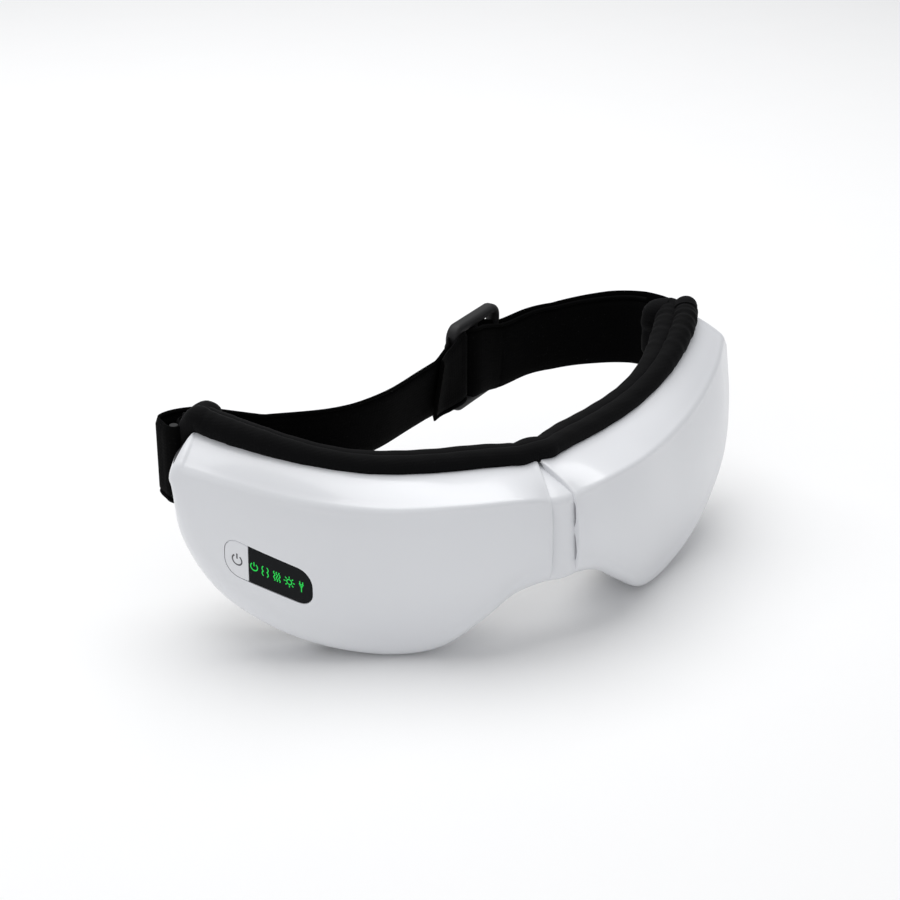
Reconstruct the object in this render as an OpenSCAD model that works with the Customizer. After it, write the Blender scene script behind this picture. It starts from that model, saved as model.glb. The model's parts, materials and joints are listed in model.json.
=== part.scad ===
// Folding eye massager mask: two pods on a nose hinge, padded inside, with an elastic head strap.
// +X is the wearer's left pod, +Y points back towards the face, +Z is up; the lobes rest on z = 0.

/* [Pods] */
// Wall thickness of the glossy front shells
shell_wall = 2.0; // [1.6:0.1:2.4]
// How far the front faces bulge forward
face_bulge = 2.2; // [0.5:0.1:3]
// Radius given to the lower edge of a shell
edge_round = 8; // [5:0.5:9]
// Distance from the bounding box centre forward to the nose hinge
hinge_back = 33.2; // [32.8:0.1:33.6]

/* [Cushion] */
// Thickness of the cushion at the brow
brow_pad = 8; // [6:0.5:10]
// Extra thickness of the cushion at the temples
temple_pad = 8; // [4:0.5:9]
// Half of the angle kept free behind the nose so that the pods can fold
fold_half = 48; // [44:1:52]

/* [Hinge] */
// Radius of the hinge pin
pin_r = 1.5; // [1.2:0.1:1.8]
// Radial running clearance of the pin
pin_gap = 0.05; // [0.03:0.01:0.08]
// Outer radius of the knuckles
knuckle_r = 4; // [3.5:0.1:4.5]
// Outer radius of the bridge cover
bridge_r = 15.2; // [14.5:0.1:15.6]

/* [Control panel] */
// Length of the slanted control panel
panel_len = 28; // [26:0.5:30]
// Height of the control panel
panel_h = 11.5; // [10:0.5:12]
// Slant of the control panel
panel_tilt = 24; // [20:1:28]

/* [Strap] */
// Width of the webbing
strap_w = 25; // [22:1:26]
// Thickness of the webbing
strap_t = 1.6; // [1.2:0.1:2]

/* [Hidden] */

// Driving curves of the +X pod, measured from the hinge axis (y) and the rest plane (z).
rim_line = [[1.2, -2, 54], [12, 1.5, 53.6], [30, 8, 53.2], [48, 14.5, 54.7],
            [66, 22, 59], [82, 33, 64], [90, 42.5, 67]];
crease_line = [[5.2, -16, 47.5], [14, -17.9, 51.2], [32, -11.3, 51], [52, 1, 49.4],
               [71, 12.5, 51.9], [88, 25, 57], [98, 35.4, 60]];
lower_line = [[5.6, -18, 20.5], [16, -15.4, 16.8], [27, -12.7, 8.5], [37, -8, 1.2], [50, -1.2, -0.8],
              [66, 6.5, 3], [80, 14.5, 10], [93, 23.4, 21.5], [100.5, 32, 37.5], [102.2, 37.5, 53.5]];
back_line = [[2.4, -5, 19.5], [14, 2, 16.5], [27, 7, 8.5], [38, 12, 2.4], [50, 17, 1.2],
             [66, 25, 4.6], [80, 33, 12], [91, 41, 24], [96.5, 46, 41], [94, 46, 60]];
// Eye centre on the opening of a pod.
eye_x = 50;
eye_z = 30;

// Position on a smooth line through the points p, for t from 0 to 1.
function spline(p, t) =
  let (n = len(p) - 1, f = min(t * n, n - 0.0001), i = floor(f), u = f - i,
       a = p[max(i - 1, 0)], b = p[i], c = p[i + 1], d = p[min(i + 2, n)])
  0.5 * (2 * b + (c - a) * u + (2 * a - 5 * b + 4 * c - d) * u * u + (3 * b - a - 3 * c + d) * u * u * u);
function unit(v) = v / norm(v);
function arc3(a, b, c, u) = (1 - u) * (1 - u) * a + 2 * u * (1 - u) * b + u * u * c;
function toward(a, b, d) = a + (b - a) * min(d / norm(b - a), 0.45);
function reversed(v) = [for (i = [len(v) - 1:-1:0]) v[i]];
function smooth(u) = let (v = min(max(u, 0), 1)) v * v * (3 - 2 * v);

// Section of a pod at station t, inset by w: top band, crease, bulged face, rounded lower edge, wall.
corner_n = 4;
face_n = 7;
function section(t, w) =
  let (r = spline(rim_line, t), c = spline(crease_line, t), l = spline(lower_line, t),
       b = spline(back_line, t), e = 0.004,
       along = unit(spline(crease_line, min(t + e, 1)) - spline(crease_line, max(t - e, 0))
               + spline(lower_line, min(t + e, 1)) - spline(lower_line, max(t - e, 0))),
       out = unit(cross(along, c - l)), up = unit(cross(along, r - c)), down = unit(cross(along, l - b)),
       ci = c - w * (out + up * 0.8), li = l - w * (out + down * 0.8),
       ri = r - w * up + (w > 0 ? 6 : 0) * unit(r - c), bi = b - w * down + (w > 0 ? 6 : 0) * unit(b - l),
       c1 = toward(ci, ri, 3), c2 = toward(ci, li, 3),
       l1 = toward(li, ci, edge_round), l2 = toward(li, bi, edge_round))
  concat([ri], [for (k = [0:corner_n]) arc3(c1, ci, c2, k / corner_n)],
         [for (k = [1:face_n]) let (u = k / (face_n + 1))
            (1 - u) * c2 + u * l1 + out * (face_bulge * 4 * u * (1 - u) * sin(180 * min(t + 0.12, 1)))],
         [for (k = [0:corner_n + 1]) arc3(l1, li, l2, k / (corner_n + 1))], [bi]);

// Closed solid through equal rings of points, with flat fans at both ends.
module loft(rings) {
  m = len(rings[0]);
  n = len(rings);
  ends = [for (i = [0, n - 1]) [for (k = [0:2]) [for (p = rings[i]) p[k]] * [for (q = rings[i]) 1] / m]];
  pts = concat([for (r = rings) each r], ends);
  faces = concat(
    [for (i = [0:n - 2], j = [0:m - 1]) let (a = i * m + j, b = i * m + (j + 1) % m) [a, b, b + m]],
    [for (i = [0:n - 2], j = [0:m - 1]) let (a = i * m + j, b = i * m + (j + 1) % m) [a, b + m, a + m]],
    [for (j = [0:m - 1]) [n * m, (j + 1) % m, j]],
    [for (j = [0:m - 1]) [n * m + 1, (n - 1) * m + j, (n - 1) * m + (j + 1) % m]]);
  polyhedron(pts, faces);
}

// Moves a piece drawn round the hinge axis to its place in the part.
module placed() translate([0, -hinge_back, 0]) children();
// Draws the +X pod's piece, or its mirror image on the other pod.
module side(s) placed() mirror([s < 0 ? 1 : 0, 0, 0]) children();
// Frame in the middle of the +X pod, with X along the pod and Y towards the face.
module in_pod() translate([eye_x, 7, eye_z]) rotate([0, 0, 22]) children();
// Frame of the control panel on the -X pod, with X level along the face and -Y outwards.
module on_panel() translate([-81.4, 15.9, 30.4]) rotate([0, 0, -36]) children();
// Wedge behind the nose that the folding cushions keep out of.
module fold_wedge() rotate([0, 0, 90 - fold_half]) translate([-80, 0, -10]) cube([160, 60, 120]);

stations = 34;
module shell_body() {
  difference() {
    loft([for (i = [0:stations]) reversed(section(i / stations, 0))]);
    loft([for (i = [0:stations]) reversed(section(0.02 + 0.955 * i / stations, shell_wall))]);
  }
}

// Room inside the necks of the shells for the bridge cover to turn in.
module neck_clearance() placed() rotate_extrude($fn = 96) bridge_profile(-0.4);
module left_shell() {
  color("white") difference() {
    side(-1) shell_body();
    neck_clearance();
    placed() on_panel() translate([0, 4, 0]) rotate([90, 0, 0])
      panel_outline(-panel_len / 2, panel_len / 2, corner_r, corner_r, 0, 10);
    placed() translate([-62, 15.5, 1]) rotate([0, 0, -25]) cube([9.4, 3.6, 12], center = true);
  }
}
module right_shell() {
  color("white") difference() {
    side(1) shell_body();
    neck_clearance();
  }
}

// Outline of the control panel from u0 to u1 along its slant, grown by g, with r at the round corners,
// and extruded by h: a rounded rectangle whose upper and lower edges run downhill.
module panel_outline(u0, u1, r0, r1, g, h) {
  w = panel_h / 2 + g;
  corners = [[u1 - r1 + g, w - r1, r1, 0], [u0 + r0 - g, w - r0, r0, 90],
             [u0 + r0 - g, r0 - w, r0, 180], [u1 - r1 + g, r1 - w, r1, 270]];
  linear_extrude(h) polygon([for (c = corners, a = [0:15:90]) let (
    u = c[0] + c[2] * cos(c[3] + a), v = c[1] + c[2] * sin(c[3] + a))
    [u * cos(panel_tilt), v - u * sin(panel_tilt)]]);
}
// Where the button ends and the window starts, and the radius of the panel's corners.
split_u = -6.2;
corner_r = 4.6;
module display_window() {
  color("black") placed() on_panel() translate([0, 2.1, 0]) rotate([90, 0, 0])
    panel_outline(split_u, panel_len / 2, 0.6, corner_r, -0.15, 1.5);
}
module power_button() {
  color("white") placed() on_panel() translate([0, 2.3, 0]) rotate([90, 0, 0])
    panel_outline(-panel_len / 2, split_u - 0.1, corner_r, 0.6, -0.2, 1.9);
}
module display_board() {
  color("darkgreen") placed() on_panel() rotate([0, panel_tilt, 0]) {
    translate([-6, 3.4, -4.2]) cube([15, 1, 8.4]);
    for (i = [0:4]) translate([-5.2 + 3.2 * i, 2.7, -0.6]) cube([1.2, 0.7, 1.2]);
  }
}
module button_switch() {
  color("dimgray") placed() on_panel() rotate([0, panel_tilt, 0]) {
    translate([-12, 3.8, -2]) cube([4, 1.6, 4]);
    translate([-10, 3.8, 0]) rotate([90, 0, 0]) cylinder(h = 0.9, r = 0.9, $fn = 32);
  }
}

// Direction straight back out of the +X pod.
rearward = [-0.42, 0.91, 0];
// Point of the rear closing surface between rim and back edge: u across, dished forward at the eye.
function cover_point(t, u, dy, depth) =
  let (e = 0.004, r = section(t, shell_wall), m = len(r) - 1, s = section(t, 0),
       a = s[0] - (unit(s[0] - s[1]) * 1.5) - (s[0] - s[m]) * 0.09,
       b = s[m] - (unit(s[m] - s[m - 1]) * 1.5) + (s[0] - s[m]) * 0.09,
       dish = depth * sin(180 * u) * smooth(sin(180 * t) * 1.3))
  (1 - u) * a + u * b + (dy - dish) * rearward;
cover_t0 = 0.22;
cover_t1 = 0.84;
dish_depth = 4.2;
// Ring round a layer from offset d0 with dish e0 to offset d1 with dish e1, over u from u0 to 1 - u0.
function layer_ring(t, u0, d0, e0, d1, e1) =
  concat([for (k = [0:8]) cover_point(t, u0 + (1 - 2 * u0) * k / 8, d1, e1)],
         [for (k = [8:-1:0]) cover_point(t, u0 + (1 - 2 * u0) * k / 8, d0, e0)]);
module layer(t0, t1, u0, d0, e0, d1, e1)
  loft([for (i = [0:22]) layer_ring(t0 + (t1 - t0) * i / 22, u0, d0, e0, d1, e1)]);
module inner_cover() { layer(cover_t0, cover_t1, 0, 0, dish_depth, 1.4, dish_depth); }
module left_inner_cover() { color("dimgray") side(-1) inner_cover(); }
module right_inner_cover() { color("dimgray") side(1) inner_cover(); }

// Section of the cushion: front seam on the cover, roll over the rim, crown, and lower roll.
function pad_ring(t) =
  let (a = cover_point(t, -0.03, 1.8, 0), b = cover_point(t, 1.03, 1.8, 0),
       d = brow_pad + temple_pad * smooth((t - 0.45) / 0.45), up = unit(a - b),
       side_in = smooth((1 - t) / 0.08) * 0.35 + 0.65, rise = 3.5 + 6.5 * smooth((t - 0.5) / 0.4))
  concat([for (k = [0:8]) cover_point(t, 1.03 - 1.06 * k / 8, 1.8, 0)],
         [a + up * 2.6 + [0, 2.6, 0], a + up * rise + [0, 0.65 * d * side_in, 0],
          a + up * (rise - 2.5) + [0, d * side_in, 0]],
         [for (k = [1:6]) let (u = k / 7) (1 - u) * a + u * b + [0, d * side_in + 0.8 * sin(180 * u), 0]],
         [b - up * 0.5 + [0, d * side_in * 0.95, 0], b - up * 2.5 + [0, 0.6 * d * side_in, 0],
          b - up * 2 + [0, 2.4, 0]]);
module eye_pad() {
  difference() {
    loft([for (i = [0:26]) pad_ring(0.06 + 0.885 * i / 26)]);
    fold_wedge();
    in_pod() translate([1, 21.5, -1]) scale([1, 0.62, 0.74]) sphere(r = 24, $fn = 28);
    translate([-1, -8, 18]) cube([21.5, 10.4, 33.5]);
    translate([90.6, 43, 0]) cube([20, 40, 90]);
    translate([86, 40, 51]) cube([20, 9, 8]);
  }
}
module left_eye_pad() { color("black") side(-1) eye_pad(); }
module right_eye_pad() { color("black") side(1) eye_pad(); }

// Domed cover of revolution round the hinge axis, seen between the two pods.
module bridge_cover() {
  color("white") placed() rotate([0, 0, -112]) rotate_extrude(angle = 98, $fn = 96) difference() {
    bridge_profile(0);
    bridge_profile(1.4);
  }
}
// Half profile of the bridge cover, inset by g: straight side, round shoulder and sloping top.
module bridge_profile(g) {
  r = bridge_r - g;
  foot = 21 - (g == 0 ? 0 : 3);
  polygon(concat([[0, foot], [r, foot], [r, 41 - g]],
    [for (a = [10:10:60]) [r - 4 + 4 * cos(a), 41 - g + 4 * sin(a)]],
    [[2, 51.2 - g * 1.1], [0, 51.8 - g * 1.1]]));
}

// Hinge leaf with its knuckles at the heights zs, an arm and a screw pad.
knuckle_h = 5.4;
module leaf(zs) {
  difference() {
    union() {
      for (z = zs) {
        translate([0, 0, z]) cylinder(h = knuckle_h, r = knuckle_r, $fn = 48);
        translate([0, -1.2, z]) cube([18, 2.4, knuckle_h]);
      }
      translate([16, -1.5, 23]) cube([3, 3, 24]);
    }
    translate([0, 0, 10]) cylinder(h = 50, r = pin_r + pin_gap, $fn = 48);
  }
}
module left_hinge_leaf() { color("silver") side(-1) leaf([23, 34.8]); }
module right_hinge_leaf() { color("silver") side(1) leaf([28.9, 40.7]); }
module hinge_pin() {
  color("silver") placed() {
    translate([0, 0, 22.6]) cylinder(h = 25, r = pin_r, $fn = 48);
    translate([0, 0, 21.4]) cylinder(h = 1.4, r = 2.6, $fn = 48);
  }
}

module left_air_bag() { color("dimgray") side(-1) air_bag(); }
module right_air_bag() { color("dimgray") side(1) air_bag(); }
module air_bag() { layer(0.33, 0.76, 0.2, 1.6, dish_depth, 1.15, 0); }
module left_heating_film() { color("orange") side(-1) heating_film(); }
module right_heating_film() { color("orange") side(1) heating_film(); }
module heating_film() { layer(0.33, 0.76, 0.2, 1.3, 0, 1.6, 0); }

module main_board() {
  color("darkgreen") side(-1) in_pod() {
    translate([-20, -3.8, -14]) cube([29, 1.2, 23]);
    for (p = [[-16, -8], [-4, -10], [-14, 2]]) translate([p[0], -2.6, p[1]]) cube([6, 1.1, 5]);
  }
}
module battery() { color("lightblue") side(1) in_pod() translate([-20, -4, -17]) cube([27, 4.2, 13]); }
module charging_socket() {
  color("silver") placed() translate([-62, 15.5, 4.6]) rotate([0, 0, -25]) difference() {
    translate([-4.5, -1.6, 0]) cube([9, 3.2, 7.2]);
    translate([-4.1, -1.2, -1]) cube([8.2, 2.4, 7.5]);
  }
}
// Height of the pump's axis, and the valve's place below the pump's outlet.
pump_z = 9;
outlet_x = -21.5;
outlet_y = -0.3;
module air_pump() {
  color("silver") side(1) in_pod() translate([9, outlet_y, pump_z]) rotate([0, -90, 0]) {
    cylinder(h = 16, r = 3.7, $fn = 48);
    translate([-4, -3.4, 16]) cube([8, 6.8, 9]);
    translate([0, 0, 25]) cylinder(h = 3, r = 1.2, $fn = 24);
  }
}
module air_valve() {
  color("dimgray") side(1) in_pod() {
    translate([outlet_x - 3.5, outlet_y - 2.8, -3]) cube([7, 5.6, 6.4]);
    translate([outlet_x, outlet_y, 3.4]) cylinder(h = 2.6, r = 1.2, $fn = 24);
  }
}
// Elbow of soft hose pushed over the pump's outlet and the valve's inlet.
module air_hose() {
  color("lightgray") side(1) in_pod() translate([outlet_x, outlet_y, pump_z]) difference() {
    union() {
      rotate([0, 90, 0]) cylinder(h = 5, r = 2, $fn = 24);
      translate([0, 0, -5]) cylinder(h = 5, r = 2, $fn = 24);
      sphere(r = 2, $fn = 32);
    }
    rotate([0, 90, 0]) cylinder(h = 6, r = 1.25, $fn = 24);
    translate([0, 0, -6]) cylinder(h = 6, r = 1.25, $fn = 24);
  }
}

// Foot of a vibration motor in the frame of its pod.
motor_at = [18, 0.3, -16];
module vibration_motor() {
  in_pod() translate(motor_at) {
    cylinder(h = 12, r = 3.5, $fn = 48);
    translate([0, 0, 12]) cylinder(h = 5.4, r = 0.6, $fn = 24);
  }
}
module eccentric_weight() {
  in_pod() translate(motor_at + [0, 0, 12.6]) difference() {
    union() {
      cylinder(h = 4, r = 1.4, $fn = 32);
      intersection() {
        cylinder(h = 4, r = 3.2, $fn = 48);
        translate([-4, 0, 0]) cube([8, 4, 4]);
      }
    }
    translate([0, 0, -1]) cylinder(h = 6, r = 0.65, $fn = 24);
  }
}
module left_vibration_motor() { color("silver") side(-1) vibration_motor(); }
module right_vibration_motor() { color("silver") side(1) vibration_motor(); }
module left_eccentric_weight() { color("gray") side(-1) eccentric_weight(); }
module right_eccentric_weight() { color("gray") side(1) eccentric_weight(); }

// Upright bar at the end of a pod that the webbing loops round.
anchor = [94, 49.5];
module strap_anchor() {
  translate([anchor[0], anchor[1], 43.5]) cylinder(h = 24, r = 1.25, $fn = 32);
  translate([anchor[0], anchor[1], 52]) rotate([0, 0, 56]) translate([-9, -1.25, 0]) cube([9, 2.5, 6]);
}
module left_strap_anchor() { color("dimgray") side(-1) strap_anchor(); }
module right_strap_anchor() { color("dimgray") side(1) strap_anchor(); }

module cover_screws() {
  for (p = [[-12, 16], [13, 12], [-8, -20.5], [3, -21.5]]) in_pod() translate([p[0], 2.6, p[1]])
    rotate([-90, 0, 0]) {
      cylinder(h = 1, r = 1.9, $fn = 32);
      translate([0, 0, -5]) cylinder(h = 5.2, r = 0.95, $fn = 24);
    }
}
module left_cover_screws() { color("silver") side(-1) cover_screws(); }
module right_cover_screws() { color("silver") side(1) cover_screws(); }

// Flat webbing of thickness t along the plan path p, its lower edge at z.
function edge(p, d) =
  [for (i = [0:len(p) - 1])
    let (v = unit(p[min(i + 1, len(p) - 1)] - p[max(i - 1, 0)])) p[i] + d * [-v[1], v[0]]];
module webbing(p, t, z)
  translate([0, 0, z]) linear_extrude(strap_w) polygon(concat(edge(p, t / 2), reversed(edge(p, -t / 2))));
function path(p, n) = [for (i = [0:n]) spline(p, i / n)];
strap_z = 43;
left_route = [[-96.4, 51], [-95, 58], [-85, 60], [-66, 54], [-46, 48], [-28, 50], [-10, 58], [8, 66.5]];
right_route = [[96.4, 51], [96, 58], [90, 67.5], [80, 76], [66, 82], [51, 83.5], [36, 80.5], [24, 74.3],
               [12, 67.6]];
module loop_round(s) {
  translate([s * anchor[0], anchor[1], strap_z]) difference() {
    cylinder(h = strap_w, r = 2.9, $fn = 32);
    translate([0, 0, -1]) cylinder(h = strap_w + 2, r = 1.35, $fn = 32);
    translate([-4, -4, 8.4]) cube([8, 8, 7.2]);
  }
}
module left_strap() {
  color("black") placed() {
    webbing(path(left_route, 24), strap_t, strap_z);
    loop_round(-1);
  }
}
module right_strap() {
  color("black") placed() {
    webbing(path(right_route, 24), strap_t * 1.5, strap_z);
    loop_round(1);
  }
}

// Tri-glide buckle: a frame with a centre bar that the webbing weaves round.
module strap_buckle() {
  color("dimgray") placed() translate([24, 74.4, strap_z - 2.5]) rotate([0, 0, 29]) difference() {
    translate([-15, -3.2, 0]) cube([30, 6.4, strap_w + 5]);
    translate([-16, -2.1, 2]) cube([32, 4.2, strap_w + 1]);
    for (x = [-12.5, 2.5]) translate([x, -4, 2]) cube([10, 8, strap_w + 1]);
  }
}

left_shell();
right_shell();
left_inner_cover();
right_inner_cover();
left_eye_pad();
right_eye_pad();
bridge_cover();
left_hinge_leaf();
right_hinge_leaf();
hinge_pin();
display_window();
power_button();
display_board();
button_switch();
main_board();
charging_socket();
battery();
air_pump();
air_valve();
air_hose();
left_air_bag();
right_air_bag();
left_heating_film();
right_heating_film();
left_vibration_motor();
right_vibration_motor();
left_eccentric_weight();
right_eccentric_weight();
left_strap_anchor();
right_strap_anchor();
left_cover_screws();
right_cover_screws();
left_strap();
right_strap();
strap_buckle();
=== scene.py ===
# %% [markdown]
# # A folding eye massager mask
# The mask has two glossy white pods joined at the nose, black padded cushions behind them, and an
# elastic strap with a sliding buckle. The engineering model is loaded first as a fixed frame. It
# says where every part is and how it moves, and each lesson below dresses one part of it.

# %% Load the frame
import json
import math
import bpy
import bmesh
import numpy as np
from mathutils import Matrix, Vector


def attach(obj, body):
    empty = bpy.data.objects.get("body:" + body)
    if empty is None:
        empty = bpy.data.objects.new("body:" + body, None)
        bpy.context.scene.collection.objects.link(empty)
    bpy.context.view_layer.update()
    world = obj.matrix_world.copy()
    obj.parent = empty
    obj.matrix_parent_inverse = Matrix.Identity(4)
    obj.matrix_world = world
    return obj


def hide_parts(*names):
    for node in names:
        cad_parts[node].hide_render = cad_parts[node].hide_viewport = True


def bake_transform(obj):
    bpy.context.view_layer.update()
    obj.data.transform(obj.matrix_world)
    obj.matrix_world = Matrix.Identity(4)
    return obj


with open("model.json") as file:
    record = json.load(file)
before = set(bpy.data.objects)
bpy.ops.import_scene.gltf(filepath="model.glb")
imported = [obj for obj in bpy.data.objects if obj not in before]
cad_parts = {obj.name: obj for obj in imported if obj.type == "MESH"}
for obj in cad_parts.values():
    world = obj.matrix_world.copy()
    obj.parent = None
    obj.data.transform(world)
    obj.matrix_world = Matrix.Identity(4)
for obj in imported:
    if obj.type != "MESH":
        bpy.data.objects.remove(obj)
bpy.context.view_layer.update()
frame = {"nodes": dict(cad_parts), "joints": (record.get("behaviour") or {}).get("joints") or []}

# %% [markdown]
# ## One place to measure from
# Both pods turn about the nose hinge, so every curve is measured from it in millimetres, with Z up
# from the floor. `to_row` takes such points into the frame's metres. Reading the hinge from the
# frame's joints keeps the looks on the engineering model if it moves.

# %% Hinge and units
MM = 0.001
joints = {joint["name"]: joint for joint in frame["joints"]}
hinge_y = joints["pod_fold"]["pos_m"][1] / MM


def to_row(points):
    """Millimetres from the hinge axis to metres in the frame: y is moved by the hinge's own y."""
    return (np.asarray(points, float) + (0, hinge_y, 0)) * MM


def unit(v):
    """v divided by its length, along the last axis."""
    return v / np.maximum(np.linalg.norm(v, axis=-1, keepdims=True), 1e-9)


def smooth(x):
    """0 below 0, 1 above 1, and 3x^2 - 2x^3 between."""
    x = np.clip(x, 0, 1)
    return x * x * (3 - 2 * x)

# %% [markdown]
# ## From a grid of points to a mesh
# Every new piece here is a surface worked out on a grid: one array of points, rows by columns. A
# quad joins each point to its neighbours in the next row and column. A tube wraps its columns, and
# a closed form also gets its end rows pinched to a point.

# %% Grid meshes
def add_object(name, data):
    """A new object with that data, linked to the scene and left at the origin."""
    thing = bpy.data.objects.new(name, data)
    bpy.context.scene.collection.objects.link(thing)
    return thing


def grid_quads(rows, columns, wrap=False):
    """Corners of the quads of a grid: (i, j), (i+1, j), (i+1, j+1), (i, j+1), with j wrapped or not."""
    i, j = np.meshgrid(np.arange(rows - 1), np.arange(columns - (0 if wrap else 1)), indexing="ij")
    k = (j + 1) % columns
    return np.stack([i * columns + j, (i + 1) * columns + j, (i + 1) * columns + k, i * columns + k],
                    axis=-1).reshape(-1, 4)


def make_piece(name, points, wrap=False, flip=False, uv=None, sharp=40):
    """A mesh object from a grid of points in millimetres, its faces flipped if asked, smooth shaded."""
    rows, columns = points.shape[:2]
    quads = grid_quads(rows, columns, wrap)
    if flip:
        quads = quads[:, ::-1]
    mesh = bpy.data.meshes.new(name)
    mesh.from_pydata(to_row(points.reshape(-1, 3)).tolist(), [], quads.tolist())
    if uv is not None:
        layer = mesh.uv_layers.new(name="cloth")
        layer.data.foreach_set("uv", uv.reshape(-1, 2)[quads.ravel()].ravel())
    tidy_mesh(mesh, sharp)
    return add_object(name, mesh)


def tidy_mesh(mesh, sharp):
    """Merges points that coincide, drops faces without area, and shades smooth below an angle."""
    work = bmesh.new()
    work.from_mesh(mesh)
    bmesh.ops.remove_doubles(work, verts=work.verts, dist=2e-6)
    bmesh.ops.dissolve_degenerate(work, edges=work.edges, dist=1e-7)
    work.to_mesh(mesh)
    work.free()
    shade_smooth(mesh)
    mesh.set_sharp_from_angle(angle=math.radians(sharp))


def face_outward(mesh):
    """Turns the faces of closed shapes so that they all look outwards."""
    work = bmesh.new()
    work.from_mesh(mesh)
    bmesh.ops.recalc_face_normals(work, faces=work.faces)
    work.to_mesh(mesh)
    work.free()


def shade_smooth(mesh):
    """Shades every face of the mesh smooth."""
    mesh.polygons.foreach_set("use_smooth", np.ones(len(mesh.polygons), bool))


def finish_modifiers(piece):
    """Applies the piece's modifiers, so that its mesh is final."""
    graph = bpy.context.evaluated_depsgraph_get()
    mesh = bpy.data.meshes.new_from_object(piece.evaluated_get(graph))
    piece.modifiers.clear()
    piece.data = mesh


def closed_rows(points, peak):
    """The grid with rounded ends: each end row shrinks to its middle as cos, while it moves out by
    peak times sin, so the form closes like a dome."""
    turns = np.radians(np.array([25, 50, 72, 90]))[:, None, None]
    ends = []
    for row, inner in ((points[0], points[1]), (points[-1], points[-2])):
        middle = row.mean(0)
        out = unit(middle - inner.mean(0)) * peak
        ends.append(middle + (row - middle) * np.cos(turns) + out * np.sin(turns))
    return np.concatenate([ends[0][::-1], points, ends[1]])

# %% [markdown]
# ## Smooth lines through a few points
# A Catmull-Rom line passes through every point it is given, so a handful of measured corners makes a
# long, fair curve. The same four lines describe a pod here and in the engineering model: the rear
# rim, the crease under the top band, the lower front edge, and the rear lower edge.

# %% Driving curves of a pod
def catmull_rom(a, b, c, d, u):
    """The cubic from b to c at u from 0 to 1, with a before them and d after."""
    return 0.5 * (2 * b + (c - a) * u + (2 * a - 5 * b + 4 * c - d) * u**2
                  + (3 * b - a - 3 * c + d) * u**3)


def line(points, t):
    """Catmull-Rom line through the points at t from 0 to 1, as an array of points."""
    p = np.asarray(points, float)
    last = len(p) - 1
    f = np.clip(np.asarray(t, float) * last, 0, last - 1e-6)
    i = f.astype(int)
    u = (f - i)[..., None]
    return catmull_rom(p[np.maximum(i - 1, 0)], p[i], p[i + 1], p[np.minimum(i + 2, last)], u)


rim_line = [(1.2, -2, 54), (12, 1.5, 53.6), (30, 8, 53.2), (48, 14.5, 54.7), (66, 22, 59),
            (82, 33, 64), (90, 42.5, 67)]
crease_line = [(5.2, -16, 47.5), (14, -17.9, 51.2), (32, -11.3, 51), (52, 1, 49.4), (71, 12.5, 51.9),
               (88, 25, 57), (98, 35.4, 60)]
lower_line = [(5.6, -18, 20.5), (16, -15.4, 16.8), (27, -12.7, 8.5), (37, -8, 1.2), (50, -1.2, -0.8),
              (66, 6.5, 3), (80, 14.5, 10), (93, 23.4, 21.5), (100.5, 32, 37.5), (102.2, 37.5, 53.5)]
back_line = [(2.4, -5, 19.5), (14, 2, 16.5), (27, 7, 8.5), (38, 12, 2.4), (50, 17, 1.2),
             (66, 25, 4.6), (80, 33, 12), (91, 41, 24), (96.5, 46, 41), (94, 46, 60)]
face_bulge = 2.2
face_bulge_start = 0.12
band_bulge = 0.5
edge_round = 8
crease_round = 2

# %% [markdown]
# ## The glossy shells
# The real shell is one injection moulding: a bright sloping band on top, a crease, a gently bulged
# front, and a rounded edge that runs under the pod. It could be sculpted, but a section carried
# along the pod is exact and keeps the highlights fair, because every row uses the same rule.

# %% Section of a pod
def arc(a, b, c, n):
    """n points of the quadratic curve from a to c that b pulls towards itself, without its ends."""
    u = np.linspace(0, 1, n + 2)[1:-1, None, None]
    return (1 - u) ** 2 * a + 2 * u * (1 - u) * b + u**2 * c


def toward(a, b, reach):
    """The point that lies reach away from a on the way to b, but never past 45% of it."""
    gap = np.linalg.norm(b - a, axis=-1, keepdims=True)
    return a + (b - a) * np.minimum(reach / gap, 0.45)


def pod_surface(t):
    """Grid of the +X pod's outside: one row per station t, its columns running from the rear rim over
    the top band, round the crease, down the bulged front, round the lower edge and back under it."""
    r, c, l, b = (line(p, t) for p in (rim_line, crease_line, lower_line, back_line))
    step = 0.004
    ahead, behind = np.minimum(t + step, 1), np.maximum(t - step, 0)
    along = unit(sum(line(p, ahead) - line(p, behind) for p in (crease_line, lower_line)))
    out = unit(np.cross(along, c - l))
    up = unit(np.cross(along, r - c))
    c1, c2 = toward(c, r, crease_round), toward(c, l, crease_round)
    l1, l2 = toward(l, c, edge_round), toward(l, b, edge_round)
    bulge = face_bulge * np.sin(np.pi * np.minimum(t + face_bulge_start, 1))[:, None]
    band_u = np.linspace(0, 1, 9)[:, None, None]
    face_u = np.linspace(0, 1, 30)[:, None, None]
    wall_u = np.linspace(0, 1, 8)[:, None, None]
    columns = [r + (c1 - r) * band_u + up * band_bulge * 4 * band_u * (1 - band_u),
               arc(c1, c, c2, 9),
               c2 + (l1 - c2) * face_u + out * bulge * 4 * face_u * (1 - face_u),
               arc(l1, l, l2, 13),
               l2 + (b - l2) * wall_u]
    return np.concatenate(columns).transpose(1, 0, 2)


stations = 150
pod_grid = pod_surface(np.linspace(0, 1, stations))
print("pod grid:", pod_grid.shape, "lowest", pod_grid[..., 2].min().round(2), "mm")

# %% [markdown]
# ## Ends and wall of a shell
# At the nose the moulding turns inwards with a small round lip, and at the temple it closes in a
# dome. Those are extra rows at the two ends of the grid. Solidify then gives the sheet its wall,
# inwards, and both pods are cut from the same grid, mirrored in X.

# %% Build both shells
wall = 1.7
lip_round = 0.8
lip_depth = 2.2
dome_peak = 2.4
dome_angles = np.arange(15, 91, 15)


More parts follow.
